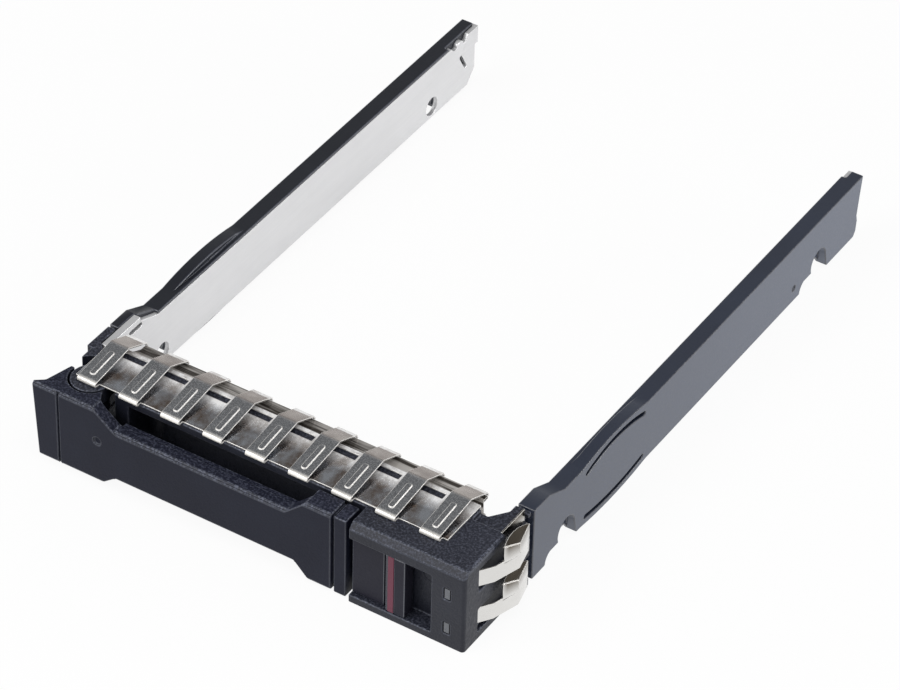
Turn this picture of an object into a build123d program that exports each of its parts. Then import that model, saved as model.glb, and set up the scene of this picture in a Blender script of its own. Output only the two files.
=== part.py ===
from build123d import *
import os

# Hot swap drive caddy for a 2.5 inch drive. Millimetres.
# X runs along the bezel, Y runs back along the rails, Z is up.
# The origin is on the bezel's front face, midway between the rails, on the surface it stands on.

# The drive that the caddy carries
drive_width = 69.85
drive_length = 100.45
screw_from_front = 9.85
screw_from_connector = 14.0
screw_height = 3.5
drive_side_gap = 0.175
drive_front_gap = 0.25

# Sheet metal
plate_t = 0.8
shield_t = 0.5
strip_t = 0.25
plate_low = 1.3
flange_width = 1.2
flange_t = 0.7
screw_flange_width = 4.7
screw_hole_d = 3.4
hook_height = 3.3
shelf_depth = 4.0

# Rails
rail_wall = 2.1
rail_top = 12.2
rail_bottom = 0.7
rail_short = 0.5
rail_joint_gap = 0.6
lip_t = 0.5
notch_floor = 0.6
notch_r = 2.3
notch_step = 2.5
bulge_from_front = 23.1
bulge_length = 19.0
bulge_rise = 0.9
flex_slot = 0.75
flex_strip = 0.9

# Bezel moulding
bezel_height = 15.2
beam_front = 4.6
beam_back = 13.4
corner_length = 4.4
shoulder_drop = 1.0
corner_drop = 0.8
side_inset = 0.2
top_wall = 1.4
floor_wall = 1.6
back_wall = 2.0
housing_width = 20.0
pillar_width = 5.8
pipe_inset = 2.5
pipe_width = 1.2
pipe_height = 2.2
pipe_low = 2.4
pipe_drop = 4.0
fit_gap = 0.1

# Lever and its pivot
pivot_inset = 5.6
pivot_y = 5.7
pin_r = 1.0
pin_run_gap = 0.06
lug_r = 3.2
lug_gap = 0.3
lug_t = 2.8
knuckle_gap = 0.2
spring_room = 3.6
sweep_r = 5.2
lever_t = 2.2
lever_overhang = 1.2
lever_tab = 4.8
lever_shoulder = 4.2
lever_slope = 3.8
grip_slope = 3.1
grip_end = 4.6
lever_end = 3.2
bar_drop = 2.9
lever_bar_low = 2.9
lever_foot = 0.5
lever_left_foot = 1.2

# Release button and its latch slide
window_low = 1.4
window_drop = 2.8
window_depth = 3.0
button_width = 9.6
button_travel = 4.4
button_set_back = 0.8
button_t = 1.8
stripe_width = 1.0
slide_gap = 0.2
cavity_wall = 1.2
cover_t = 1.8
cover_wall = 1.2
catch_half = 2.5
spring_wire = 0.4
spring_r = 1.5
spring_turns = 4

# Contact finger strips
finger_count = 9
finger_width = 3.4
strip_margin = 14.8
strip_centre_x = -1.4
strip_front = 4.9
ridge_rise = 1.75
side_arm_height = 3.0
side_head_rise = 3.1
strip_edge_depth = 0.6
side_bow = 2.2
side_bow_fold = 0.9
side_head_run = 4.4
side_crest_run = 2.9
side_tail_run = 3.9

# Widths worked out from the drive
inner_x = drive_width / 2 + drive_side_gap
plate_x = inner_x + plate_t
rail_x = plate_x + rail_wall
side_x = rail_x - side_inset
screw_x = inner_x - 2.1
pivot_x = pivot_inset - side_x
housing_left = side_x - housing_width
window_right = side_x - pillar_width
button_right = housing_left + button_width
lever_left = -side_x - lever_overhang
face_left = lever_left + lever_tab
shoulder_left = pivot_x + lever_shoulder
bar_left = shoulder_left + lever_slope
lever_right = housing_left - lever_end
grip_right = lever_right - grip_end
bar_right = grip_right - grip_slope

# Depths
corner_depth = beam_back + corner_length
corner_front = beam_back - 1.1
housing_top_back = beam_back - 2.4
drive_front = corner_depth + drive_front_gap
rail_end = drive_front + drive_length - rail_short
front_screw_y = drive_front + screw_from_front
rear_screw_y = drive_front + drive_length - screw_from_connector
rail_front = corner_depth + rail_joint_gap
plate_front = beam_back + shield_t
shoulder_back = rail_front + 4.2
shoulder_foot = shoulder_back + 4.4

# Heights
shoulder_top = bezel_height - shoulder_drop
corner_top = bezel_height - corner_drop
web_low = shoulder_top - plate_t
window_high = bezel_height - window_drop
lever_bar_top = bezel_height - bar_drop
plate_top = rail_top - lip_t

# Mechanism levels that the bezel, the slide and the lever's catch share
cavity_left = housing_left + 1.0
cavity_right = window_right - 0.4
cavity_low = 2.2
cavity_high = window_high
wall_back = window_depth + cavity_wall
cover_front = beam_back - cover_t
catch_back = beam_front + 3.0
nose_back = wall_back + 0.9
neck_left = housing_left + 1.8
neck_right = neck_left + 2.4
neck_back = nose_back + 0.9
spring_y = (wall_back + cover_front) / 2
spring_z = (cavity_low + cavity_high) / 2
catch_low = spring_z - catch_half
catch_high = spring_z + catch_half
boss_r = 0.95
boss_length = 3.0
spring_seat = cavity_left + 2.0

# Light pipes and frame screws
pipe_right = side_x - pipe_inset
pipe_x = (pipe_right - pipe_width, pipe_right)
pipe_low_z = (pipe_low, pipe_low + pipe_height)
pipe_high_z = (bezel_height - pipe_drop - pipe_height, bezel_height - pipe_drop)
screw_flange_low = 3.4
screw_flange_high = shoulder_top - 3.8
screw_z = (screw_flange_low + screw_flange_high) / 2
screw_r = 0.95
screw_clear = 0.15
screw_tip_y = beam_back - 1.7
screw_head_r = 1.8
screw_head_t = 1.1

# Side pocket and the strip in it
pocket_front = 3.8
pocket_floor_x = side_x - 0.9
pocket_low = 1.5
pocket_high = bezel_height - 1.6
bar_low = (pocket_low + pocket_high) / 2 - 1.7
bar_high = bar_low + 3.4
tongue_low = bar_low - 0.5
tongue_high = bar_high - 1.2
tongue_t = 1.2
strip_edge_front = beam_back - 2.6
strip_edge_back = corner_depth - 0.8
spine_length = 2.4

os.makedirs("parts", exist_ok=True)


def cuboid(x, y, z, mode=Mode.ADD):
    """A block between two corners, each span given as (low, high)."""
    with Locations(((x[0] + x[1]) / 2, (y[0] + y[1]) / 2, (z[0] + z[1]) / 2)):
        Box(x[1] - x[0], y[1] - y[0], z[1] - z[0], mode=mode)


def sided(sign, near, far):
    """An X span on one side of the caddy, from two distances off its middle."""
    return tuple(sorted((sign * near, sign * far)))


def front_plane(y):
    """The plane across the caddy at depth y, drawn in X and Z; a negative extrude goes back."""
    return Plane.XZ.offset(-y)


def finish(name, builder):
    """Label a finished piece and write it."""
    builder.part.label = name
    export_step(builder.part, f"parts/{name}.step")


def bar(start, end, radius, mode=Mode.ADD):
    """A round bar between two points."""
    path = Vector(*end) - Vector(*start)
    with BuildSketch(Plane(origin=start, z_dir=path)) as disc:
        Circle(radius)
    extrude(disc.sketch, amount=path.length, mode=mode)


def wire_coil(start, pitch, turns, radius, axis):
    """A coil of spring wire, its section a square; gives the points where it begins and ends."""
    with BuildLine() as coil:
        Helix(pitch, pitch * turns, radius, center=start, direction=axis)
    with BuildSketch(Plane(origin=coil.line @ 0, z_dir=coil.line % 0)) as section:
        Rectangle(0.85 * spring_wire, 0.85 * spring_wire)
    sweep(section.sketch, path=coil.line)
    return coil.line @ 0, coil.line @ 1


def sheet_flap(corners, arc_through=None):
    """A flat flap of strip; its last edge may be an arc through one more point."""
    points = [Vector(*corner) for corner in corners]
    along = points[1] - points[0]
    flap_plane = Plane(origin=points[0], x_dir=along, z_dir=along.cross(points[-1] - points[0]))
    flat = [flap_plane.to_local_coords(point) for point in points]
    with BuildSketch(flap_plane) as flap:
        with BuildLine():
            Polyline(*flat)
            if arc_through:
                ThreePointArc(flat[-1], flap_plane.to_local_coords(Vector(*arc_through)), flat[0])
            else:
                Line(flat[-1], flat[0])
        make_face()
    extrude(flap.sketch, amount=strip_t / 2, both=True)


recess_left = bar_left - 0.4
recess_right = bar_right + 2.3
recess_back = beam_back - back_wall
block_x = plate_x + 0.4

with BuildPart() as bezel:
    with BuildSketch(Plane.XY):
        with BuildLine():
            Polyline(
                (-block_x, beam_front), (housing_left, beam_front), (housing_left, 0), (side_x, 0),
                (side_x, corner_depth), (plate_x, corner_depth), (plate_x, beam_back),
                (-plate_x, beam_back), (-plate_x, corner_depth), (-side_x, corner_depth),
                (-side_x, corner_front), (-plate_x, corner_front), (-plate_x, corner_front - 0.6),
                (-block_x, corner_front - 0.6), close=True)
        make_face()
        with Locations((pivot_x, pivot_y)):
            Circle(sweep_r, mode=Mode.SUBTRACT)
    extrude(amount=bezel_height)
    # The corners behind the top face are lower
    for sign, front in ((-1, corner_front), (1, housing_top_back)):
        cuboid(sided(sign, screw_x - 1.0, side_x + 1), (front, corner_depth), (corner_top, bezel_height),
               Mode.SUBTRACT)
    # Finger recess behind the lever's bar, round at its back corners
    with BuildSketch(Plane.XY.offset(floor_wall)):
        with BuildLine():
            FilletPolyline((recess_left, 0), (recess_left, recess_back), (recess_right, recess_back),
                           (recess_right, 0), radius=1.6)
            Line((recess_right, 0), (recess_left, 0))
        make_face()
    extrude(amount=bezel_height - top_wall - floor_wall, mode=Mode.SUBTRACT)
    # Lever lugs above and below the knuckle
    for low in (0, bezel_height - lug_t):
        with BuildSketch(Plane.XY.offset(low)):
            with Locations((pivot_x, pivot_y)):
                Circle(lug_r)
            with Locations((pivot_x + 0.9, (pivot_y + beam_back) / 2)):
                Rectangle(lug_r + 1.0, beam_back - pivot_y)
        extrude(amount=lug_t)
    bar((pivot_x, pivot_y, 0), (pivot_x, pivot_y, bezel_height - 1.0), pin_r, Mode.SUBTRACT)
    # Window, neck slot and mechanism cavity in the housing
    cuboid((housing_left, window_right), (0, window_depth), (window_low, window_high), Mode.SUBTRACT)
    cuboid((housing_left, neck_right + button_travel + slide_gap), (window_depth, wall_back),
           (catch_low, catch_high), Mode.SUBTRACT)
    cuboid((cavity_left, cavity_right), (wall_back, beam_back), (cavity_low, cavity_high), Mode.SUBTRACT)
    cuboid((housing_left, cavity_left), (wall_back, catch_back), (catch_low, catch_high), Mode.SUBTRACT)
    cuboid((lever_right + slide_gap, housing_left), (beam_front, catch_back),
           (catch_low - 0.4, catch_high + 0.4), Mode.SUBTRACT)
    bar((cavity_right, spring_y, spring_z), (cavity_right - boss_length, spring_y, spring_z), boss_r)
    # Hollow between the recess and the housing, open at the back
    cuboid((recess_right + 1.4, housing_left - 1.2), (catch_back + 1.4, beam_back),
           (floor_wall, bezel_height - top_wall), Mode.SUBTRACT)
    # Light pipe holes, screw pilots and the slots for the rails' tongues
    for pipe_z in (pipe_low_z, pipe_high_z):
        cuboid(pipe_x, (0, beam_back), pipe_z, Mode.SUBTRACT)
    for sign in (-1, 1):
        bar((sign * screw_x, screw_tip_y, screw_z), (sign * screw_x, beam_back, screw_z), screw_r,
            Mode.SUBTRACT)
        cuboid(sided(sign, plate_x, plate_x + tongue_t), (corner_depth - 2.6, corner_depth),
               (tongue_low - fit_gap, tongue_high + fit_gap), Mode.SUBTRACT)
    # Side pockets for the contact fingers, with a bar left between them
    for low, high in ((pocket_low, bar_low), (bar_high, pocket_high)):
        cuboid((pocket_floor_x, side_x), (pocket_front, corner_depth), (low, high), Mode.SUBTRACT)
    # Slot that holds the side strip's spine in the pillar, and the seat of its raised edge
    cuboid((pocket_floor_x, pocket_floor_x + strip_t), (pocket_front - spine_length, pocket_front),
           (pocket_low, pocket_high), Mode.SUBTRACT)
    cuboid((pocket_floor_x, side_x), (strip_edge_front, strip_edge_back), (pocket_high, bezel_height),
           Mode.SUBTRACT)
    # Round boss in the window's upper corner
    bar((window_right - 1.6, window_depth, window_high - 2.6),
        (window_right - 1.6, window_depth - 0.25, window_high - 2.6), 1.5)
    # Seat for the left plate's bent flange, and the web over the right plate
    cuboid((-inner_x - flange_width - fit_gap, -plate_x), (plate_front, corner_depth),
           (shoulder_top - flange_t, corner_top), Mode.SUBTRACT)
    with BuildSketch(Plane.XY.offset(web_low)):
        with BuildLine():
            Polyline((plate_x, beam_back), (screw_x, beam_back), (inner_x, corner_depth - 1.6),
                     (inner_x, corner_depth), (plate_x, corner_depth), close=True)
        make_face()
    extrude(amount=corner_top - web_low)
    # Bevels along the housing's top edges, and the round front corner
    chamfer(bezel.edges().filter_by(Axis.X).group_by(Axis.Y)[0].sort_by(Axis.Z)[-1], 1.0)
    chamfer(bezel.edges().filter_by(Axis.Y).group_by(Axis.Z)[-1].sort_by(Axis.X)[-1], 0.35)
    fillet(bezel.edges().filter_by(Axis.Z).group_by(Axis.X)[-1].group_by(Axis.Y)[0], 0.6)
finish("bezel", bezel)


with BuildPart() as mechanism_cover:
    cuboid((cavity_left, cavity_right), (cover_front, beam_back), (cavity_low, cavity_high))
    cuboid((cavity_left + cover_wall, cavity_right - cover_wall), (cover_front + 1.0, beam_back),
           (cavity_low + cover_wall, cavity_high - cover_wall), Mode.SUBTRACT)
finish("mechanism_cover", mechanism_cover)


# Lever: one moulding with the front face, the grip bar, the knuckle and the catch
end_back = pivot_y + 0.7
strip_left = lever_right + 0.4
strip_right = housing_left - 0.7
catch_right = housing_left - 0.25
catch_front = nose_back + slide_gap
catch_end = catch_back - 0.8
knuckle_low = lug_t + knuckle_gap
knuckle_high = bezel_height - lug_t - knuckle_gap
knuckle_t = (knuckle_high - knuckle_low - spring_room) / 2

with BuildPart() as ejector_lever:
    with BuildSketch(front_plane(0)):
        with BuildLine():
            Polyline(
                (face_left, bezel_height), (shoulder_left, bezel_height), (bar_left, lever_bar_top),
                (bar_right, lever_bar_top), (grip_right, bezel_height), (lever_right, bezel_height),
                (lever_right, lever_foot), (grip_right + 0.8, lever_foot),
                (bar_right + 1.5, lever_bar_low), (bar_left - 0.2, lever_bar_low),
                (shoulder_left + 1.4, lever_left_foot), (face_left, lever_left_foot), close=True)
        make_face()
    extrude(amount=-lever_t)
    # Left end, cut round the lug, and the tab that stands past the side
    with BuildSketch(Plane.XY.offset(lever_left_foot)):
        with BuildLine():
            Polyline((lever_left, 0), (shoulder_left + 1.4, 0), (shoulder_left + 1.4, lever_t),
                     (shoulder_left, lever_t + 0.2), (pivot_x + lug_r, pivot_y - 1.4), (pivot_x, pivot_y),
                     (pivot_x - 2, end_back), (lever_left + 2.7, end_back), (lever_left + 1.4, 1.7),
                     (lever_left, 0.6), close=True)
        make_face()
        with Locations((pivot_x, pivot_y)):
            Circle(lug_r + lug_gap, mode=Mode.SUBTRACT)
    extrude(amount=bezel_height - lever_left_foot)
    # The cut behind the grip's left shoulder follows the face's slope
    with BuildSketch(front_plane(0)):
        with BuildLine():
            Polyline((shoulder_left, bezel_height), (bar_left, lever_bar_top), (bar_left, bezel_height + 1),
                     close=True)
        make_face()
    extrude(amount=-beam_front, mode=Mode.SUBTRACT)
    # Groove between the tab and the face
    cuboid((face_left - 0.3, face_left), (0, 0.5), (0, bezel_height), Mode.SUBTRACT)
    # Knuckle barrels on the pin, above and below the spring
    for low in (knuckle_low, knuckle_high - knuckle_t):
        with BuildSketch(Plane.XY.offset(low)):
            with Locations((pivot_x, pivot_y)):
                Circle(lug_r - 0.5)
            with Locations((pivot_x, (pivot_y + lever_t) / 2)):
                Rectangle(2 * lug_r - 1.0, pivot_y - lever_t)
        extrude(amount=knuckle_t)
    bar((pivot_x, pivot_y, 0), (pivot_x, pivot_y, bezel_height), pin_r + pin_run_gap, Mode.SUBTRACT)
    # The outer end leans in towards the bottom, and a dimple marks the pivot end
    with BuildSketch(front_plane(0)):
        with BuildLine():
            Polyline((lever_left, bezel_height), (lever_left + 0.9, 0), (lever_left - 0.5, 0), close=True)
        make_face()
    extrude(amount=-pivot_y, mode=Mode.SUBTRACT)
    bar((pivot_x + 5.0, 0, 0.6 * bezel_height), (pivot_x + 5.0, 0.35, 0.6 * bezel_height), 0.7,
        Mode.SUBTRACT)
    # Flanges behind the bar and behind the right end
    for flange_low in (lever_bar_top - 1.6, lever_bar_low + 0.4):
        cuboid((bar_left, bar_right + 1.1), (lever_t - 0.6, lever_t + 1.2), (flange_low, flange_low + 1.1))
    cuboid((grip_right, lever_right), (lever_t - 0.6, beam_front - 0.6), (bezel_height - 1.4, bezel_height))
    cuboid((lever_right - 1.2, lever_right), (lever_t - 0.6, beam_front - 0.6), (lever_foot, bezel_height))
    # Catch end: a full height strip behind a groove, with the arm and tooth that the latch holds
    cuboid((strip_left, strip_right), (0.3, beam_front - 0.6), (0.3, bezel_height - 0.2))
    cuboid((lever_right, strip_left), (0.9, beam_front - 0.6), (1.2, bezel_height - 0.6))
    cuboid((strip_left + 0.2, strip_right), (beam_front - 0.6, catch_end),
           (catch_low + slide_gap, catch_high - slide_gap))
    cuboid((strip_left + 0.2, catch_right), (catch_front, catch_end),
           (catch_low + slide_gap, catch_high - slide_gap))
    chamfer(ejector_lever.edges().filter_by(Axis.X).group_by(Axis.Y)[0], 0.4)
finish("ejector_lever", ejector_lever)


with BuildPart() as lever_pivot_pin:
    bar((pivot_x, pivot_y, 0.4), (pivot_x, pivot_y, bezel_height - 1.2), pin_r)
finish("lever_pivot_pin", lever_pivot_pin)


# Torsion spring round the pin, between the knuckle barrels, with a leg on each side
coil_pitch = 1.0
coil_turns = 2
coil_r = 1.6
leg_r = 0.4 * spring_wire
coil_low = (knuckle_low + knuckle_high - coil_pitch * coil_turns) / 2

with BuildPart() as lever_spring:
    coil_start, coil_end = wire_coil((pivot_x, pivot_y, coil_low), coil_pitch, coil_turns, coil_r, (0, 0, 1))
    back_reach = (sweep_r ** 2 - coil_r ** 2) ** 0.5 - 0.1
    front_reach = ((lug_r + lug_gap) ** 2 - coil_r ** 2) ** 0.5 - 0.25
    for tip, reach in ((coil_start, -front_reach), (coil_end, back_reach)):
        bar((tip.X, pivot_y - 0.1 * reach / abs(reach), tip.Z), (tip.X, pivot_y + reach, tip.Z), leg_r)
finish("lever_spring", lever_spring)


panel_low = window_low + fit_gap
panel_high = window_high - fit_gap
face_y = button_set_back
rib_left = button_right - 3.3
stripe_left = rib_left + 0.4

with BuildPart() as release_button:
    cuboid((housing_left + 0.15, button_right), (face_y, face_y + button_t), (panel_low, panel_high))
    cuboid((rib_left, button_right), (face_y - 0.6, face_y), (panel_low, panel_high))
    cuboid((rib_left - 0.6, rib_left), (face_y, face_y + 0.4), (panel_low, panel_high), Mode.SUBTRACT)
    cuboid((stripe_left, stripe_left + stripe_width), (face_y - 0.6, face_y + 0.2),
           (panel_low, panel_high), Mode.SUBTRACT)
    cuboid((neck_left, neck_right), (face_y + button_t, neck_back), (catch_low + 0.6, catch_high - 0.6))
finish("release_button", release_button)


with BuildPart() as button_stripe:
    cuboid((stripe_left, stripe_left + stripe_width), (face_y - 0.65, face_y + 0.2), (panel_low, panel_high))
finish("button_stripe", button_stripe)


slide_left = cavity_left + slide_gap
slide_right = cavity_right - button_travel - slide_gap
catch_z = (catch_low + slide_gap, catch_high - slide_gap)

with BuildPart() as latch_slide:
    cuboid((slide_left, slide_right), (wall_back + fit_gap, cover_front - fit_gap),
           (cavity_low + fit_gap, cavity_high - fit_gap))
    # The nose that stands in front of the lever's tooth, and its root
    cuboid((housing_left - 0.05, slide_left), (window_depth + slide_gap, nose_back), catch_z)
    cuboid((slide_left, neck_left), (window_depth + slide_gap, wall_back + fit_gap), catch_z)
    cuboid((neck_left, neck_right), (wall_back, neck_back), (catch_low + 0.6, catch_high - 0.6),
           Mode.SUBTRACT)
    bar((slide_right, spring_y, spring_z), (spring_seat, spring_y, spring_z), spring_r + 0.4,
        Mode.SUBTRACT)
finish("latch_slide", latch_slide)


spring_start = spring_seat + 0.6 * spring_wire
spring_length = cavity_right - 0.6 * spring_wire - spring_start

with BuildPart() as button_spring:
    wire_coil((spring_start, spring_y, spring_z), spring_length / spring_turns, spring_turns, spring_r,
              (1, 0, 0))
finish("button_spring", button_spring)


for pipe_name, pipe_z in (("light_pipe_upper", pipe_high_z), ("light_pipe_lower", pipe_low_z)):
    with BuildPart() as light_pipe:
        cuboid(pipe_x, (0.15, beam_back), pipe_z)
    finish(pipe_name, light_pipe)


# Top contact strip: a base with windows, and fingers that fold up from its front edge
finger_pitch = (2 * side_x - strip_margin) / (finger_count - 1)
strip_half = (finger_count - 1) / 2 * finger_pitch + finger_width / 2
strip_back = beam_back + 0.5
base_z = bezel_height + strip_t / 2
window_shift = 1.3
hem_r = 0.36
rib_width = 0.9
rib_length = 5.4
rib_rise = 0.18
hem_y = strip_front - 0.9 + hem_r
ridge_y = beam_back - 0.7
ridge_z = bezel_height + ridge_rise
slope_start = Vector(0, hem_y, base_z + 2 * hem_r)
slope_end = Vector(0, ridge_y - 0.9, ridge_z - 0.12)

with BuildPart() as emi_strip_top:
    base_x = (strip_centre_x - strip_half - 0.9, strip_centre_x + strip_half + 0.9)
    cuboid(base_x, (strip_front, strip_back), (bezel_height, bezel_height + strip_t))
    cuboid(base_x, (strip_back - strip_t, strip_back), (shoulder_top + 0.5, bezel_height))
    with GridLocations(finger_pitch, 1, finger_count - 1, 1):
        with Locations((strip_centre_x - window_shift, strip_back - 1.35, base_z)):
            Box(finger_pitch - finger_width + 0.2, 1.2, strip_t, mode=Mode.SUBTRACT)
    for i in range(finger_count):
        finger_x = strip_centre_x + (i - (finger_count - 1) / 2) * finger_pitch
        with BuildSketch(Plane.YZ.offset(finger_x - finger_width / 2)):
            with BuildLine():
                Line((strip_front + 1.5, base_z), (hem_y, base_z))
                ThreePointArc((hem_y, base_z), (hem_y - hem_r, base_z + hem_r), (hem_y, base_z + 2 * hem_r))
                Polyline((slope_start.Y, slope_start.Z), (slope_end.Y, slope_end.Z), (ridge_y, ridge_z),
                         (strip_back + 3.2, bezel_height - 0.2), (strip_back + 3.5, shoulder_top + 0.2))
                offset(amount=strip_t / 2, side=Side.BOTH, kind=Kind.INTERSECTION)
            make_face()
        extrude(amount=finger_width)
        # A pressed rib along the sloping face
        centre = (slope_start + slope_end) * 0.5 + Vector(finger_x, 0, 0)
        run = slope_end - slope_start
        with BuildSketch(Plane(origin=centre, x_dir=(1, 0, 0), z_dir=(0, -run.Z, run.Y))):
            rib = Rectangle(rib_width, rib_length)
            chamfer(rib.vertices(), rib_width / 4)
        extrude(amount=strip_t / 2 + rib_rise)
finish("emi_strip_top", emi_strip_top)


# Side contact strip: a spine held in the pillar, with two fingers that bow out of the side pockets
spine_x = pocket_floor_x + strip_t / 2
crest_x = side_x + side_bow
head_start = (crest_x - side_bow_fold, pocket_front + side_head_run)
crest = (crest_x, head_start[1] + side_crest_run)
tail = (crest_x - side_bow_fold, crest[1] + side_tail_run)

with BuildPart() as emi_strip_side:
    cuboid((pocket_floor_x, pocket_floor_x + strip_t), (pocket_front - spine_length, pocket_front),
           (pocket_low, pocket_high))
    cuboid((pocket_floor_x, pocket_floor_x + strip_t), (pocket_front, strip_edge_back),
           (pocket_high - strip_edge_depth, pocket_high))
    cuboid((pocket_floor_x, pocket_floor_x + strip_t), (strip_edge_front, strip_edge_back),
           (pocket_high, bezel_height))
    for low in (bar_low - side_arm_height - 0.4, bar_high + 0.4):
        with BuildSketch(Plane.XY.offset(low)):
            with BuildLine():
                Polyline((spine_x, pocket_front), (spine_x, pocket_front + 0.5),
                         (crest_x - 1.4, pocket_front + 2.8), crest, tail,
                         (side_x - 0.4, corner_depth - 0.7))
                offset(amount=strip_t / 2, side=Side.BOTH, kind=Kind.INTERSECTION)
            make_face()
        extrude(amount=side_arm_height)
        # The taller head, and the flap that leans in over it
        head_low = low + side_arm_height - 0.4
        edge_front = low + side_arm_height + side_head_rise - 0.4
        edge_crest = edge_front - 0.9
        edge_tail = edge_front - 0.5
        sheet_flap([(*head_start, head_low), (*crest, head_low), (*crest, edge_crest),
                    (*head_start, edge_front)])
        sheet_flap([(*crest, head_low), (*tail, head_low), (*tail, edge_tail), (*crest, edge_crest)])
        flap_normal = (Vector(*crest, edge_crest) - Vector(*head_start, edge_front)).cross(
            Vector(*tail, edge_tail) - Vector(*head_start, edge_front))
        bulge_x, bulge_y = crest_x - 1.5, crest[1] + 0.2
        bulge_z = edge_front - (flap_normal.X * (bulge_x - head_start[0])
                                + flap_normal.Y * (bulge_y - head_start[1])) / flap_normal.Z
        sheet_flap([(*head_start, edge_front), (*crest, edge_crest), (*tail, edge_tail)],
                   (bulge_x, bulge_y, bulge_z))
finish("emi_strip_side", emi_strip_side)


# Steel sheet behind the bezel, bent back into a shelf under the fingers' tips
shield_low = 2.0
shelf_x = screw_x - 0.6
shelf_corner = 1.8

with BuildPart() as front_shield:
    cuboid((0.6 - inner_x, inner_x - 0.6), (beam_back, plate_front), (shield_low, web_low - 0.2))
    cuboid((-shelf_x, shelf_x), (beam_back, plate_front), (web_low - 1.2, shoulder_top))
    for sign in (-1, 1):
        bar((sign * screw_x, beam_back, screw_z), (sign * screw_x, plate_front, screw_z),
            screw_r + screw_clear, Mode.SUBTRACT)
    for pipe_z in (pipe_low_z, pipe_high_z):
        cuboid(pipe_x, (beam_back, plate_front), pipe_z, Mode.SUBTRACT)
    with BuildSketch(Plane.XY.offset(shoulder_top - shield_t)):
        with BuildLine():
            Polyline((-shelf_x, beam_back), (shelf_x, beam_back),
                     (shelf_x - shelf_corner, beam_back + 0.7 * shelf_depth),
                     (shelf_x - shelf_corner, beam_back + shelf_depth),
                     (shelf_corner - shelf_x, beam_back + shelf_depth),
                     (shelf_corner - shelf_x, beam_back + 0.7 * shelf_depth), close=True)
        make_face()
    extrude(amount=shield_t)
finish("front_shield", front_shield)


def side_plate(name, sign):
    """A steel side plate: the flat wall beside the drive and a flange screwed behind the bezel."""
    end_y = rail_end - 0.4
    with BuildPart() as plate:
        with BuildSketch(Plane.YZ.offset(sided(sign, inner_x, plate_x)[0])):
            with BuildLine():
                Polyline(
                    (plate_front, plate_low), (end_y - 2.2, plate_low), (end_y, plate_low + 2.4),
                    (end_y, plate_top), (end_y - 2.2, plate_top), (end_y - 2.8, plate_top - 0.9),
                    (end_y - 3.7, plate_top - 0.9))
                ThreePointArc((end_y - 3.7, plate_top - 0.9), (end_y - 4.7, plate_top),
                              (end_y - 5.7, plate_top - 0.9))
                Polyline((end_y - 5.7, plate_top - 0.9), (end_y - 6.6, plate_top - 0.9),
                         (end_y - 7.4, plate_top), (shoulder_foot, plate_top), (shoulder_back, web_low),
                         (plate_front, web_low), (plate_front, plate_low))
            make_face()
            with Locations((front_screw_y, screw_height), (rear_screw_y, screw_height)):
                Circle(screw_hole_d / 2, mode=Mode.SUBTRACT)
            # Slot under the bent edge, and a slanted one at the rear
            with Locations((rail_front + 2.7, shoulder_top - 1.5)):
                SlotOverall(3.4, 0.8, mode=Mode.SUBTRACT)
            with Locations((end_y - 3.6, 6.9)):
                SlotOverall(3.6, 0.7, rotation=-60, mode=Mode.SUBTRACT)
        extrude(amount=plate_t)
        flange_back = plate_front + plate_t
        cuboid(sided(sign, inner_x - screw_flange_width, plate_x), (plate_front, flange_back),
               (screw_flange_low, screw_flange_high))
        bar((sign * screw_x, plate_front, screw_z), (sign * screw_x, flange_back, screw_z),
            screw_r + screw_clear, Mode.SUBTRACT)
        # The rear hook wraps the rail's end
        hook_z = (plate_top - hook_height, plate_top)
        cuboid(sided(sign, inner_x, plate_x + 0.7), (rail_end, rail_end + 0.5), hook_z)
        cuboid(sided(sign, inner_x, plate_x), (end_y, rail_end), hook_z)
        # The left plate's top edge is bent outwards over the bezel's corner and the rail
        if sign < 0:
            cuboid((-inner_x - flange_width, -inner_x), (plate_front, shoulder_back - 0.2),
                   (shoulder_top - flange_t, shoulder_top))
            cuboid((-plate_x, -inner_x), (plate_front, shoulder_back - 0.2), (web_low, shoulder_top))
    finish(name, plate)


side_plate("left_side_plate", -1)
side_plate("right_side_plate", 1)


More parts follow.
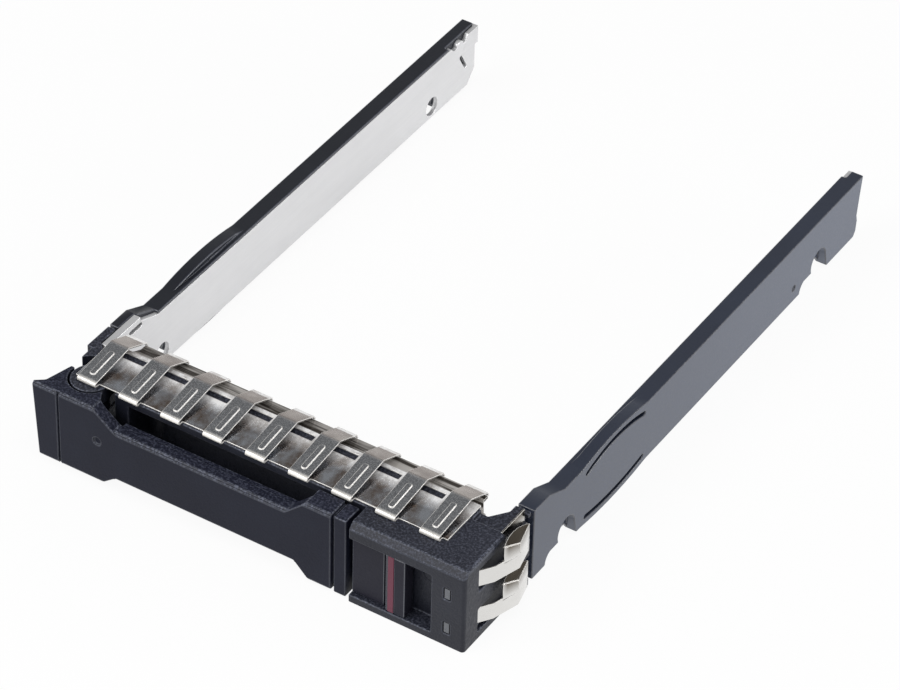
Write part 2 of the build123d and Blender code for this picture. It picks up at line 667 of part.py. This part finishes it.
def side_rail(name, sign, lip_short):
    """A moulded runner outside the steel plate, with two flexing strips, screw notches and a lip."""
    bulge_y = rail_front + bulge_from_front
    bulge_front = bulge_y - bulge_length / 2
    bulge_back = bulge_y + bulge_length / 2
    slot_front = bulge_front + 1.4
    slot_back = bulge_back - 1.2
    slot_rise = bulge_rise + 0.4
    with BuildPart() as rail:
        with BuildSketch(Plane.YZ.offset(sided(sign, plate_x, rail_x)[0])):
            with BuildLine():
                Polyline((rail_front, rail_bottom), (rail_front, shoulder_top), (shoulder_back, shoulder_top),
                         (shoulder_foot, rail_top), (bulge_front, rail_top))
                ThreePointArc((bulge_front, rail_top), (bulge_y, rail_top + bulge_rise),
                              (bulge_back, rail_top))
                Polyline((bulge_back, rail_top), (rail_end, rail_top), (rail_end - 0.5, 8.8),
                         (rail_end - 1.0, 4.8), (rail_end - 0.7, 3.6), (rail_end - 0.9, 1.6),
                         (rail_end - 1.6, rail_bottom), (bulge_back, rail_bottom))
                ThreePointArc((bulge_back, rail_bottom), (bulge_y, 0), (bulge_front, rail_bottom))
                Line((bulge_front, rail_bottom), (rail_front, rail_bottom))
            make_face()
            # The bottom edge steps up ahead of each screw notch
            for centre_y in (front_screw_y, rear_screw_y):
                with BuildLine():
                    ThreePointArc((centre_y - 5.8, rail_bottom), (centre_y - 5.3, notch_step - 0.5),
                                  (centre_y - 4.6, notch_step))
                    Polyline((centre_y - 4.6, notch_step), (centre_y + 1.8, notch_step),
                             (centre_y + 3.1, rail_bottom), (centre_y + 3.1, 0), (centre_y - 5.8, 0),
                             (centre_y - 5.8, rail_bottom))
                make_face(mode=Mode.SUBTRACT)
            # Slots that leave a thin flexing strip along each bulge
            upper_z = rail_top - flex_strip - flex_slot / 2
            with BuildLine():
                upper = ThreePointArc((slot_front, upper_z - 0.4), (bulge_y, upper_z - 0.4 + slot_rise),
                                      (slot_back, upper_z - 0.4))
            SlotArc(upper, flex_slot, mode=Mode.SUBTRACT)
            lower_z = rail_bottom + flex_strip + flex_slot / 2
            with BuildLine():
                lower = ThreePointArc((slot_front, lower_z), (bulge_y, lower_z - rail_bottom),
                                      (slot_back, lower_z))
            SlotArc(lower, flex_slot, mode=Mode.SUBTRACT)
        extrude(amount=rail_wall)
        # Blind notches for the drive screws' heads, each with its screw hole
        for centre_y in (front_screw_y, rear_screw_y):
            with BuildSketch(Plane.YZ.offset(sign * (plate_x + notch_floor))):
                with Locations((centre_y, screw_height)):
                    Circle(notch_r)
                with BuildLine():
                    Polyline((centre_y - 1.4, notch_step - 1.0), (centre_y - notch_r, screw_height),
                             (centre_y + notch_r, screw_height), (centre_y + 3.1, 0), (centre_y, 0),
                             close=True)
                make_face()
            extrude(amount=sign * rail_wall, mode=Mode.SUBTRACT)
            bar((sign * plate_x, centre_y, screw_height), (sign * rail_x, centre_y, screw_height),
                screw_hole_d / 2, Mode.SUBTRACT)
        # Lip over the plate's top edge
        lip_end = rail_end - lip_short
        with BuildSketch(Plane.YZ.offset(sided(sign, inner_x, plate_x)[0])):
            with BuildLine():
                Polyline((shoulder_foot, rail_top), (lip_end - lip_t, rail_top), (lip_end, plate_top),
                         (shoulder_foot, plate_top), close=True)
            make_face()
            if sign > 0:
                with BuildLine():
                    Polyline((rail_front, web_low), (rail_front, shoulder_top), (shoulder_back, shoulder_top),
                             (shoulder_foot, rail_top), (shoulder_foot, plate_top), (shoulder_back, web_low),
                             close=True)
                make_face()
        extrude(amount=plate_t)
        # Tongue held between the plate and the bezel's corner
        cuboid(sided(sign, plate_x, plate_x + tongue_t), (corner_depth - 2.4, rail_front),
               (tongue_low, tongue_high))
        if sign < 0:
            cuboid((-inner_x - flange_width - fit_gap, -plate_x), (rail_front, shoulder_back),
                   (shoulder_top - flange_t, shoulder_top), Mode.SUBTRACT)
        # A small dimple ahead of the rear notch
        bar((sign * (rail_x - 0.3), rear_screw_y - 8.0, 3.4), (sign * rail_x, rear_screw_y - 8.0, 3.4), 0.5,
            Mode.SUBTRACT)
    finish(name, rail)


side_rail("left_rail", -1, 8.2)
side_rail("right_rail", 1, 1.6)


head_y = plate_front + plate_t
with BuildPart() as frame_screws:
    for sign in (-1, 1):
        bar((sign * screw_x, screw_tip_y, screw_z), (sign * screw_x, head_y, screw_z), screw_r)
        bar((sign * screw_x, head_y, screw_z), (sign * screw_x, head_y + screw_head_t, screw_z), screw_head_r)
finish("frame_screws", frame_screws)
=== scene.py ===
import math

import bmesh
import bpy
from mathutils import Matrix, Vector


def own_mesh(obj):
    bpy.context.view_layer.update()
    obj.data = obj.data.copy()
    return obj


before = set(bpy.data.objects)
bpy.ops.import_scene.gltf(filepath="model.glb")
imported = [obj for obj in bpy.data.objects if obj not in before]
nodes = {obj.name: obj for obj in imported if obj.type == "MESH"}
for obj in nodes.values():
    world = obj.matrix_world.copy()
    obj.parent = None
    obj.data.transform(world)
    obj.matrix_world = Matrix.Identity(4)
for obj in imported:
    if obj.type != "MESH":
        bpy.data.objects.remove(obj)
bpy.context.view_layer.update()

# One millimetre in metres
MM = 0.001

# In degrees: an edge above the first angle is sharp, one above the second is rounded, and faces that meet
# below the third are one flat face
SHARP_ANGLE = 28
ROUNDED_ANGLE = 32
FLAT_ANGLE = 0.6
# Points nearer than this are one point, in metres
WELD_DISTANCE = 2e-6

# Painted light: where upright plastic faces begin to turn lighter towards the rear, and where they are
# lighter in full, along Y in millimetres
REAR_LIGHT_START, REAR_LIGHT_FULL = 10.0, 110.0
# Pale specks are painted glints of the grain: painted highlights. A speck's colour is the plastic's lighter
# colour times the first number, plus the second
SPECK_GAIN, SPECK_LIFT = 2.8, 0.035

# The brown painted reflection on the heads of the side fingers, where they mirror brown surroundings. In
# millimetres: how softly it begins at their bottom and top, and where it begins and is full along Y
HEAD_PAINTED_REFLECTION = (0.15, 0.13, 0.105)
HEAD_BOTTOM_BLEND, HEAD_TOP_BLEND = 2.4, 0.1
HEAD_START, HEAD_FULL = 7.8, 9.0

# Slow waves in sheet steel: the scale of their noise, and its height against the other noises
WAVE_SCALE, WAVE_HEIGHT = 260, 12.0

# On the contact strip, in millimetres: how softly one colour passes into the next along Y, how far before
# the base's rear edge the painted white reflection begins and is full, and how far above the base's top its
# colour ends and is full
STRIP_BLEND = 0.5
WHITE_REFLECTION_START, WHITE_REFLECTION_FULL = 4.4, 1.6
BASE_END, BASE_FULL = 0.06, 0.01


def shade(obj, look, edge_look, bevel):
    """Gives a CAD node its material, rounds its sharp edges and gives those roundings their own material."""
    obj.data.materials.clear()
    obj.data.materials.append(look)
    obj.data.materials.append(edge_look)
    obj.data.set_sharp_from_angle(angle=math.radians(SHARP_ANGLE))
    weld = obj.modifiers.new("weld", "WELD")
    weld.merge_threshold = WELD_DISTANCE
    flat = obj.modifiers.new("flat", "DECIMATE")
    flat.decimate_type = "DISSOLVE"
    flat.angle_limit = math.radians(FLAT_ANGLE)
    if bevel:
        edge = obj.modifiers.new("edge", "BEVEL")
        edge.width = bevel * MM
        edge.segments = 3
        edge.limit_method = "ANGLE"
        edge.angle_limit = math.radians(ROUNDED_ANGLE)
        edge.use_clamp_overlap = False
        edge.harden_normals = True
        edge.miter_outer = "MITER_ARC"
        edge.material = 1
    level = obj.modifiers.new("level", "WEIGHTED_NORMAL")
    level.keep_sharp = True
    level.weight = 90


class Nodes:
    """A short way to build a shader tree."""

    def __init__(self, name):
        self.material = bpy.data.materials.new(name)
        self.material.use_nodes = True
        self.tree = self.material.node_tree
        self.shader = self.tree.nodes["Principled BSDF"]
        self.coords = self.add("ShaderNodeTexCoord").outputs["Object"]

    def add(self, kind, **values):
        node = self.tree.nodes.new(kind)
        for key, value in values.items():
            setattr(node, key, value)
        return node

    def link(self, source, target):
        self.tree.links.new(source, target)

    def noise(self, scale, detail, rough=0.5, stretch=(1, 1, 1)):
        mapping = self.add("ShaderNodeMapping")
        mapping.inputs["Scale"].default_value = stretch
        self.link(self.coords, mapping.inputs["Vector"])
        noise = self.add("ShaderNodeTexNoise")
        noise.inputs["Scale"].default_value = scale
        noise.inputs["Detail"].default_value = detail
        noise.inputs["Roughness"].default_value = rough
        self.link(mapping.outputs["Vector"], noise.inputs["Vector"])
        return noise.outputs["Fac"]

    def ramp(self, fac, low, high, start=0.3, end=0.7):
        """Goes from low to high while fac goes from start to end."""
        ramp = self.add("ShaderNodeMapRange")
        for socket, value in (("From Min", start), ("From Max", end), ("To Min", low), ("To Max", high)):
            ramp.inputs[socket].default_value = value
        self.link(fac, ramp.inputs["Value"])
        return ramp.outputs["Result"]

    def facing_up(self, low, high):
        """Goes from low on upright faces to high on level ones."""
        split = self.add("ShaderNodeSeparateXYZ")
        self.link(self.add("ShaderNodeNewGeometry").outputs["Normal"], split.inputs[0])
        return self.ramp(split.outputs["Z"], low, high, start=0.1, end=0.8)

    def band(self, axis, low, high):
        """Goes from 0 at low to 1 at high, two places along an axis of the frame, in millimetres."""
        split = self.add("ShaderNodeSeparateXYZ")
        self.link(self.coords, split.inputs[0])
        return self.ramp(split.outputs[axis], 0.0, 1.0, low * MM, high * MM)

    def times(self, a, b):
        product = self.add("ShaderNodeMath", operation="MULTIPLY")
        self.link(a, product.inputs[0])
        if isinstance(b, float):
            product.inputs[1].default_value = b
        else:
            self.link(b, product.inputs[1])
        return product.outputs[0]

    def larger(self, a, b):
        pick = self.add("ShaderNodeMath", operation="MAXIMUM")
        self.link(a, pick.inputs[0])
        self.link(b, pick.inputs[1])
        return pick.outputs[0]

    def mix(self, fac, a, b):
        """Goes from colour a to colour b while fac goes from 0 to 1."""
        mix = self.add("ShaderNodeMix", data_type="RGBA")
        # Inputs 6 and 7 and output 2 are the node's colour sockets
        for socket, value in ((mix.inputs[6], a), (mix.inputs[7], b)):
            if isinstance(value, tuple):
                socket.default_value = (*value, 1)
            else:
                self.link(value, socket)
        self.link(fac, mix.inputs[0])
        return mix.outputs[2]

    def bump(self, heights, distance):
        """heights is a list of (output, strength), and distance is in metres."""
        last = None
        for height, strength in heights:
            bump = self.add("ShaderNodeBump")
            bump.inputs["Strength"].default_value = strength
            bump.inputs["Distance"].default_value = distance
            self.link(height, bump.inputs["Height"])
            if last:
                self.link(last, bump.inputs["Normal"])
            last = bump.outputs["Normal"]
        self.link(last, self.shader.inputs["Normal"])


def plastic(name, colour, light, rough=(0.36, 0.56), grain=1.0, specular=0.5, specks=(0.1, 0.55),
            painted_rear_light=None, sheen=(1.0, 1.0, 1.0)):
    """Moulded plastic: a spark-eroded grain, a little cloudiness and pale specks painted as glints of the
    grain.

    specks says how strong the painted glints are on upright faces and on level ones, painted_rear_light is
    the lighter colour that upright faces take towards the rear as painted light, and sheen is the tint of
    the gloss.
    """
    n = Nodes(name)
    cloud = n.noise(scale=60, detail=3, rough=0.6)
    fine = n.noise(scale=2900, detail=2, rough=0.65)
    coarse = n.noise(scale=1450, detail=2)
    base = n.mix(n.ramp(cloud, 0.0, 1.0), colour, light)
    # Painted light: upright faces turn lighter towards the rear, standing in for the light that falls on
    # them there
    if painted_rear_light:
        rear_light_band = n.band("Y", REAR_LIGHT_START, REAR_LIGHT_FULL)
        base = n.mix(n.times(rear_light_band, n.facing_up(1.0, 0.0)), base, painted_rear_light)
    # Painted highlights: pale specks where the fine grain would glint, with their own strength on upright
    # and level faces
    pale = tuple(c * SPECK_GAIN + SPECK_LIFT for c in light)
    amount = n.times(n.ramp(fine, 0.0, 1.0, start=0.45, end=0.66), n.facing_up(*specks))
    n.link(n.mix(amount, base, pale), n.shader.inputs["Base Color"])
    n.link(n.ramp(fine, *rough), n.shader.inputs["Roughness"])
    n.shader.inputs["Specular IOR Level"].default_value = specular
    n.shader.inputs["Specular Tint"].default_value = (*sheen, 1.0)
    n.bump([(fine, 0.9 * grain), (coarse, 0.6 * grain)], distance=0.00005)
    return n.material


def waves(n):
    return n.times(n.noise(WAVE_SCALE, detail=1, rough=0.4), WAVE_HEIGHT)


def steel(name, colour, dark, rough=(0.24, 0.38), stretch=(1, 0.04, 1), scale=2200, strength=0.12,
          matte=0.0, streaks=0.35, contrast=1.0, wave=0.0, heads=()):
    """Rolled sheet steel: faint lines along the roll, clouds of tarnish and scratches.

    scale, stretch, streaks and contrast shape the lines, strength is the depth of lines and scratches, wave
    that of slow waves, and heads lists the bottom and top of each head that gets a painted brown reflection,
    in millimetres.
    """
    n = Nodes(name)
    lines = n.noise(scale, detail=3, rough=0.65, stretch=stretch)
    cloud = n.noise(scale=45, detail=4, rough=0.6)
    scratch = n.noise(scale=900, detail=1, rough=0.4, stretch=tuple(s * 0.5 + 0.1 for s in stretch))
    base = n.mix(n.ramp(cloud, 0.0, 0.7), colour, dark)
    # The lines' ramp is as wide as the usual one at contrast 1, and narrower above it
    half = 0.2 / contrast
    base = n.mix(n.ramp(lines, 0.0, streaks, start=0.5 - half, end=0.5 + half), base, dark)
    for low, top in heads:
        # Painted reflection: a brown tone on each head, standing in for the brown surroundings it mirrors
        head = n.times(n.band("Z", low, low + HEAD_BOTTOM_BLEND), n.band("Z", top + HEAD_TOP_BLEND, top))
        base = n.mix(n.times(head, n.band("Y", HEAD_START, HEAD_FULL)), base, HEAD_PAINTED_REFLECTION)
    n.link(base, n.shader.inputs["Base Color"])
    n.link(n.ramp(scratch, *rough), n.shader.inputs["Roughness"])
    n.shader.inputs["Metallic"].default_value = 1.0 - matte
    bumps = [(lines, strength), (scratch, strength * 0.5)]
    if wave:
        bumps.append((waves(n), wave))
    n.bump(bumps, distance=0.00002)
    return n.material


def strip_steel(name, base_top, base_rear, ridge, hem):
    """The contact strip's steel: speckled slopes, with painted reflections on the rest: warm on the
    plateaus, white on the lips and near the base's rear edge, and brown and grey on the base, where it is
    part stain.

    In millimetres: base_top is the height of the base, and along Y base_rear is its rear edge, ridge is
    where the fingers' plateaus begin, and hem is where their lips end.
    """
    n = Nodes(name)
    speckle = n.noise(scale=4200, detail=3, rough=0.7)
    cloud = n.noise(scale=190, detail=4, rough=0.65)
    patch = n.noise(scale=330, detail=4, rough=0.65, stretch=(1, 0.7, 1))

    speckled = n.ramp(speckle, 0.0, 1.0, start=0.36, end=0.64)
    slope = n.mix(speckled, (0.345, 0.355, 0.375), (0.63, 0.645, 0.67))
    # Painted reflection: the plateaus' warm colour stands in for the brown surroundings they mirror
    plateau = n.mix(n.ramp(cloud, 0.0, 1.0), (0.23, 0.20, 0.185), (0.42, 0.385, 0.36))
    look = n.mix(n.band("Y", ridge - STRIP_BLEND, ridge), slope, plateau)

    on_base = n.band("Z", base_top + BASE_END, base_top + BASE_FULL)
    # Brown and grey patches on the base: part stain, part painted reflection of the brown surroundings
    stain_and_reflection = n.mix(n.ramp(patch, 0.0, 1.0, start=0.38, end=0.62), (0.26, 0.21, 0.18), (0.62, 0.65, 0.70))
    look = n.mix(on_base, look, stain_and_reflection)

    # Painted reflection: matte white on the base just before its rear edge, where the steel mirrors white
    # surroundings
    white_reflection = n.times(n.band("Y", base_rear - WHITE_REFLECTION_START, base_rear - WHITE_REFLECTION_FULL), n.ramp(patch, 0.45, 1.0))
    white_reflection = n.times(white_reflection, on_base)
    look = n.mix(white_reflection, look, (0.96, 0.95, 0.94))

    # Painted reflection: the lips pale, standing in for the white horizon their rounded hems mirror
    lip_reflection = n.band("Y", hem + STRIP_BLEND, hem)
    look = n.mix(lip_reflection, look, (0.93, 0.90, 0.85))
    n.link(look, n.shader.inputs["Base Color"])

    # Where the white reflection and the lips' reflection are painted, the steel turns matte, so the painted
    # white shows more than what the steel mirrors
    paint = n.larger(white_reflection, n.times(lip_reflection, 0.5))
    n.link(n.ramp(paint, 1.0, 0.05, start=0.0, end=0.8), n.shader.inputs["Metallic"])
    n.link(n.ramp(speckle, 0.16, 0.32), n.shader.inputs["Roughness"])
    n.bump([(speckle, 0.22), (waves(n), 0.5)], distance=0.00002)
    return n.material


shell = plastic("shell_plastic", (0.009, 0.010, 0.017), (0.015, 0.017, 0.027), specular=0.3,
                specks=(0.0, 0.8))
# Painted highlight with some wear: the rounded edges lighter, glossier and more speckled than the faces
shell_edge_highlight = plastic("shell_edge_highlight", (0.014, 0.016, 0.026), (0.034, 0.038, 0.054), specular=0.4,
                     specks=(0.15, 1.0))
# Painted light: the right rail's plastic is a lighter, bluer and glossier copy of the left rail's, matched
# to the lit sheen of its outer face, and its upright faces turn lighter towards the rear
rail_skin = plastic("rail_plastic", (0.011, 0.015, 0.029), (0.017, 0.023, 0.042), rough=(0.30, 0.42),
                    grain=0.2, specular=1.0, specks=(0.25, 0.0), painted_rear_light=(0.062, 0.074, 0.108),
                    sheen=(0.84, 0.89, 1.0))
left_rail_skin = plastic("left_rail_plastic", (0.008, 0.009, 0.014), (0.012, 0.014, 0.020),
                         rough=(0.32, 0.44), grain=0.2, specks=(0.2, 0.0), sheen=(0.9, 0.94, 1.0))
# Painted highlight: the rounded edges of rails and button lighter than their faces
rail_edge_highlight = plastic("rail_edge_highlight", (0.026, 0.030, 0.044), (0.042, 0.047, 0.066), rough=(0.25, 0.4), grain=0.3,
                    specular=1.0, specks=(0.0, 0.2))
lever_skin = plastic("lever_plastic", (0.008, 0.009, 0.018), (0.012, 0.014, 0.026), rough=(0.38, 0.5),
                     grain=0.4, specular=0.14, specks=(0.0, 0.7))
button_skin = plastic("button_plastic", (0.012, 0.012, 0.020), (0.018, 0.018, 0.028), rough=(0.4, 0.52),
                      grain=0.35, specular=0.15, specks=(0.0, 0.3))
stripe_skin = plastic("stripe_plastic", (0.11, 0.023, 0.042), (0.135, 0.030, 0.055), rough=(0.3, 0.42),
                      grain=0.2, specular=0.3, specks=(0.0, 0.0))
pipe_skin = plastic("light_pipe", (0.08, 0.084, 0.095), (0.12, 0.128, 0.145), rough=(0.15, 0.28),
                    grain=0.1, specks=(0.0, 0.0))
pipe_edge = plastic("pipe_edge", (0.003, 0.003, 0.004), (0.004, 0.004, 0.006), specular=0.1,
                    specks=(0.0, 0.0))
plate_steel = steel("plate_steel", (0.75, 0.75, 0.76), (0.65, 0.65, 0.66), rough=(0.36, 0.5), matte=0.45)
# Painted highlight: the plates' rounded edges lighter and glossier than their faces
plate_edge_highlight = steel("plate_edge_highlight", (0.86, 0.86, 0.87), (0.72, 0.72, 0.73), rough=(0.25, 0.36), matte=0.3)
shield_steel = steel("shield_steel", (0.90, 0.86, 0.82), (0.035, 0.028, 0.022), rough=(0.10, 0.2),
                     scale=1300, stretch=(0.04, 1, 1), strength=0.06, matte=0.6, streaks=0.95, contrast=3.0,
                     wave=0.5)
finger_steel = strip_steel("finger_steel", base_top=15.45, base_rear=13.2, ridge=12.7, hem=4.2)
side_steel = steel("side_steel", (0.80, 0.79, 0.77), (0.68, 0.67, 0.65), rough=(0.16, 0.28),
                   stretch=(1, 0.3, 1), wave=0.3, heads=((5.3, 8.8), (12.5, 16.0)))
# Painted highlight: pale rounded edges on strip, shield, pin and screws, standing in for the reflections
# along them
strip_edge_highlight = steel("strip_edge_highlight", (0.86, 0.84, 0.81), (0.74, 0.72, 0.69), rough=(0.34, 0.46),
                   stretch=(1, 1, 1), matte=0.5)
spring_steel = steel("spring_steel", (0.6, 0.6, 0.62), (0.4, 0.4, 0.42))

# Each node's material, that of its rounded edges, and their width in millimetres, 0 where none are rounded.
# The edge materials are lighter than their faces, as painted highlights, except the light pipes' darker
# edges
looks = {
    "bezel": (shell, shell_edge_highlight, 0.2),
    "mechanism_cover": (shell, shell_edge_highlight, 0.15),
    "ejector_lever": (lever_skin, shell_edge_highlight, 0.2),
    "lever_pivot_pin": (spring_steel, strip_edge_highlight, 0.1),
    "lever_spring": (spring_steel, spring_steel, 0),
    "release_button": (button_skin, rail_edge_highlight, 0.15),
    "button_stripe": (stripe_skin, stripe_skin, 0.05),
    "latch_slide": (lever_skin, shell_edge_highlight, 0.15),
    "button_spring": (spring_steel, spring_steel, 0),
    "light_pipe_upper": (pipe_skin, pipe_edge, 0.16),
    "light_pipe_lower": (pipe_skin, pipe_edge, 0.16),
    "emi_strip_top": (finger_steel, strip_edge_highlight, 0.08),
    "emi_strip_side": (side_steel, strip_edge_highlight, 0.05),
    "front_shield": (shield_steel, strip_edge_highlight, 0.05),
    "left_side_plate": (plate_steel, plate_edge_highlight, 0.1),
    "right_side_plate": (plate_steel, plate_edge_highlight, 0.1),
    "left_rail": (left_rail_skin, rail_edge_highlight, 0.18),
    "right_rail": (rail_skin, rail_edge_highlight, 0.18),
    "frame_screws": (spring_steel, strip_edge_highlight, 0.1),
}
for name, (look, edge_look, bevel) in looks.items():
    shade(nodes[name], look, edge_look, bevel)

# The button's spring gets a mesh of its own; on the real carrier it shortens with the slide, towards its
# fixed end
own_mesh(nodes["button_spring"])


# Floor, light and camera, in metres. The floor lies just under the object's underside
FLOOR_HALF = 3.0
FLOOR_DROP = 0.00002
floor_mesh = bpy.data.meshes.new("floor")
work = bmesh.new()
bmesh.ops.create_grid(work, x_segments=1, y_segments=1, size=FLOOR_HALF)
work.to_mesh(floor_mesh)
work.free()
floor = bpy.data.objects.new("floor", floor_mesh)
bpy.context.scene.collection.objects.link(floor)
floor.location = (0, 0, -FLOOR_DROP)


def white_to_view(n, surface, share):
    """Mixes a share of plain white into a surface, for camera, glossy and transmission rays alone."""
    path = n.add("ShaderNodeLightPath").outputs
    seen = n.larger(n.larger(path["Is Camera Ray"], path["Is Glossy Ray"]), path["Is Transmission Ray"])
    glow = n.add("ShaderNodeEmission")
    both = n.add("ShaderNodeMixShader")
    n.link(n.times(seen, share), both.inputs[0])
    n.link(surface, both.inputs[1])
    n.link(glow.outputs[0], both.inputs[2])
    return both.outputs[0]


floor_look = Nodes("floor_paint")
cloudy = floor_look.ramp(floor_look.noise(scale=3, detail=2), 0.0, 1.0)
paint = floor_look.mix(cloudy, (0.90, 0.90, 0.90), (0.94, 0.94, 0.94))
floor_look.link(paint, floor_look.shader.inputs["Base Color"])
floor_look.shader.inputs["Roughness"].default_value = 0.9
floor_white = white_to_view(floor_look, floor_look.shader.outputs["BSDF"], share=0.93)
floor_look.link(floor_white, floor_look.tree.nodes["Material Output"].inputs["Surface"])
floor_mesh.materials.append(floor_look.material)

# The world is white near the horizon and dimmer overhead
scene = bpy.context.scene
world = bpy.data.worlds.new("studio")
world.use_nodes = True
tree = world.node_tree
direction = tree.nodes.new("ShaderNodeTexCoord")
split = tree.nodes.new("ShaderNodeSeparateXYZ")
height = tree.nodes.new("ShaderNodeMapRange")
for socket, value in (("From Min", 0.05), ("From Max", 0.5), ("To Min", 1.0), ("To Max", 0.25)):
    height.inputs[socket].default_value = value
tree.links.new(direction.outputs["Generated"], split.inputs[0])
tree.links.new(split.outputs["Z"], height.inputs["Value"])
tree.links.new(height.outputs["Result"], tree.nodes["Background"].inputs["Strength"])
tree.nodes["Background"].inputs["Color"].default_value = (1, 1, 1, 1)
scene.world = world


def area_light(name, place, target, size, power):
    data = bpy.data.lights.new(name, "AREA")
    data.shape = "RECTANGLE"
    data.size, data.size_y = size
    data.energy = power
    light = bpy.data.objects.new(name, data)
    light.location = place
    light.rotation_euler = (Vector(target) - Vector(place)).to_track_quat("-Z", "Y").to_euler()
    scene.collection.objects.link(light)


middle = (0, 0.05, 0.005)
area_light("front_left", (-0.30, -0.43, 0.50), middle, size=(0.52, 0.42), power=2.9)
area_light("right", (0.62, 0.30, 0.16), middle, size=(0.40, 0.20), power=1.6)
area_light("top", (0.25, -0.10, 0.65), middle, size=(0.4, 0.4), power=1.6)

# The camera was solved from the photograph
camera_data = bpy.data.cameras.new("camera")
camera = bpy.data.objects.new("camera", camera_data)
scene.collection.objects.link(camera)
camera_place = (0.286125, -0.409219, 0.455206)
azimuth, elevation, roll = math.radians(31.63), math.radians(39.69), math.radians(1.60)
forward = Vector((-math.sin(azimuth) * math.cos(elevation), math.cos(azimuth) * math.cos(elevation),
                  -math.sin(elevation)))
level = Vector((math.cos(azimuth), math.sin(azimuth), 0))
upright = level.cross(forward)
right = math.cos(roll) * level + math.sin(roll) * upright
up = -math.sin(roll) * level + math.cos(roll) * upright
camera.matrix_world = Matrix((
    (right.x, up.x, -forward.x, camera_place[0]),
    (right.y, up.y, -forward.y, camera_place[1]),
    (right.z, up.z, -forward.z, camera_place[2]),
    (0, 0, 0, 1)))
camera_data.lens = 182.57
camera_data.sensor_width = 36
camera_data.clip_start = 0.01
camera_data.clip_end = 20
scene.camera = camera
scene.view_settings.view_transform = "Standard"
